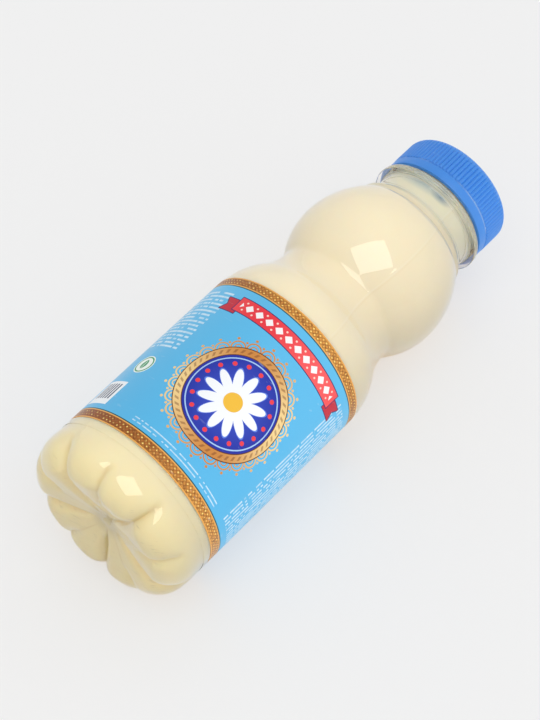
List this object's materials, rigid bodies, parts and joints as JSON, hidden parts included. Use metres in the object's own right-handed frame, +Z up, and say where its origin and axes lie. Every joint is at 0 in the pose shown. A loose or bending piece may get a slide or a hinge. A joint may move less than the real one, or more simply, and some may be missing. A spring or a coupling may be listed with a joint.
{
  "type": "bottle of condensed milk",
  "caption": "Clear plastic bottle of condensed milk lying on its side, with a petal base, waist, round bulb, printed wrap-round label and ribbed screw cap.",
  "frame": {"origin": "middle of the bottle's box, on the floor under the side that it lies on", "axes": "+X along the bottle from its base to its cap, +Z up"},
  "size_m": [0.174, 0.0606, 0.06],
  "materials": {
    "clear_plastic": "glossy clear plastic",
    "milk": "thick cream",
    "label": "printed glossy film",
    "cap": "semi-gloss moulded plastic"
  },
  "bodies": {
    "root": {"bottle": "clear_plastic", "milk": "milk", "label": "label", "cap": "cap"}
  },
  "joints": []
}
